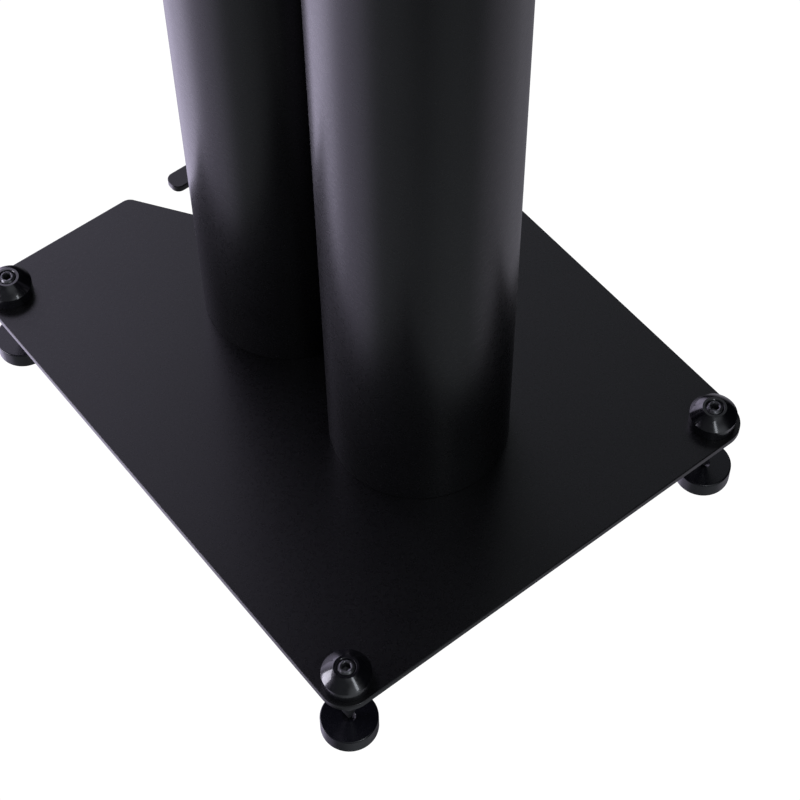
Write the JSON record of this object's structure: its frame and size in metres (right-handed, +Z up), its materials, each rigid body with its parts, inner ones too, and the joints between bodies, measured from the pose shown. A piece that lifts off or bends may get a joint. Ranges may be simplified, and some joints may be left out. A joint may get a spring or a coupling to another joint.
{
  "type": "speaker stand",
  "caption": "Speaker stand with a rounded base plate, round columns one behind the other, a top plate and levelling spikes on floor discs.",
  "frame": {"origin": "on the floor, under the middle of the base plate", "axes": "+Z up, -Y towards the front (the side opposite the cable hole), +X to the right seen from the front"},
  "size_m": [0.255, 0.313, 0.602],
  "materials": {
    "powder_coat": "satin",
    "cap_gloss": "gloss",
    "disc_black": "satin",
    "spike_black": "satin",
    "plain_steel": "satin",
    "screw_black": "satin",
    "pad_rubber": "matte",
    "pad_felt": "matte"
  },
  "bodies": {
    "stand": {"base_plate": "powder_coat", "top_plate": "powder_coat", "front_column": "powder_coat", "rear_column": "powder_coat", "front_lower_plug": "plain_steel", "rear_lower_plug": "plain_steel", "front_upper_plug": "plain_steel", "rear_upper_plug": "plain_steel", "base_screws": "screw_black", "top_screws": "screw_black", "spike_nuts": "plain_steel", "speaker_pads": "pad_rubber"},
    "disc_front_left": {"floor_disc_front_left": "disc_black", "disc_pad_front_left": "pad_felt"},
    "spike_front_left": {"spike_front_left": "spike_black"},
    "cap_front_left": {"lock_cap_front_left": "cap_gloss"},
    "disc_front_right": {"floor_disc_front_right": "disc_black", "disc_pad_front_right": "pad_felt"},
    "spike_front_right": {"spike_front_right": "spike_black"},
    "cap_front_right": {"lock_cap_front_right": "cap_gloss"},
    "disc_rear_left": {"floor_disc_rear_left": "disc_black", "disc_pad_rear_left": "pad_felt"},
    "spike_rear_left": {"spike_rear_left": "spike_black"},
    "cap_rear_left": {"lock_cap_rear_left": "cap_gloss"},
    "disc_rear_right": {"floor_disc_rear_right": "disc_black", "disc_pad_rear_right": "pad_felt"},
    "spike_rear_right": {"spike_rear_right": "spike_black"},
    "cap_rear_right": {"lock_cap_rear_right": "cap_gloss"}
  },
  "joints": [
    {"name": "spike_turn_front_left", "type": "hinge", "parent": "disc_front_left", "child": "spike_front_left", "pos_m": [-0.1135, -0.1425, 0.048], "axis": [0, 0, 1], "range_deg": [-2165, 2165]},
    {"name": "foot_height_front_left", "type": "slide", "parent": "stand", "child": "disc_front_left", "axis": [0, 0, 1], "range_m": [-0.0075, 0.0075]},
    {"name": "cap_turn_front_left", "type": "hinge", "parent": "stand", "child": "cap_front_left", "pos_m": [-0.1135, -0.1425, 0.048], "axis": [0, 0, 1], "continuous": true},
    {"name": "spike_turn_front_right", "type": "hinge", "parent": "disc_front_right", "child": "spike_front_right", "pos_m": [0.1135, -0.1425, 0.048], "axis": [0, 0, 1], "range_deg": [-2165, 2165]},
    {"name": "foot_height_front_right", "type": "slide", "parent": "stand", "child": "disc_front_right", "axis": [0, 0, 1], "range_m": [-0.0075, 0.0075]},
    {"name": "cap_turn_front_right", "type": "hinge", "parent": "stand", "child": "cap_front_right", "pos_m": [0.1135, -0.1425, 0.048], "axis": [0, 0, 1], "continuous": true},
    {"name": "spike_turn_rear_left", "type": "hinge", "parent": "disc_rear_left", "child": "spike_rear_left", "pos_m": [-0.1135, 0.1425, 0.048], "axis": [0, 0, 1], "range_deg": [-2165, 2165]},
    {"name": "foot_height_rear_left", "type": "slide", "parent": "stand", "child": "disc_rear_left", "axis": [0, 0, 1], "range_m": [-0.0075, 0.0075]},
    {"name": "cap_turn_rear_left", "type": "hinge", "parent": "stand", "child": "cap_rear_left", "pos_m": [-0.1135, 0.1425, 0.048], "axis": [0, 0, 1], "continuous": true},
    {"name": "spike_turn_rear_right", "type": "hinge", "parent": "disc_rear_right", "child": "spike_rear_right", "pos_m": [0.1135, 0.1425, 0.048], "axis": [0, 0, 1], "range_deg": [-2165, 2165]},
    {"name": "foot_height_rear_right", "type": "slide", "parent": "stand", "child": "disc_rear_right", "axis": [0, 0, 1], "range_m": [-0.0075, 0.0075]},
    {"name": "cap_turn_rear_right", "type": "hinge", "parent": "stand", "child": "cap_rear_right", "pos_m": [0.1135, 0.1425, 0.048], "axis": [0, 0, 1], "continuous": true}
  ],
  "couplings": [
    {"joint": "spike_turn_front_left", "follows": "foot_height_front_left", "rad_per_m": 5026.5},
    {"joint": "spike_turn_front_right", "follows": "foot_height_front_right", "rad_per_m": 5026.5},
    {"joint": "spike_turn_rear_left", "follows": "foot_height_rear_left", "rad_per_m": 5026.5},
    {"joint": "spike_turn_rear_right", "follows": "foot_height_rear_right", "rad_per_m": 5026.5}
  ]
}
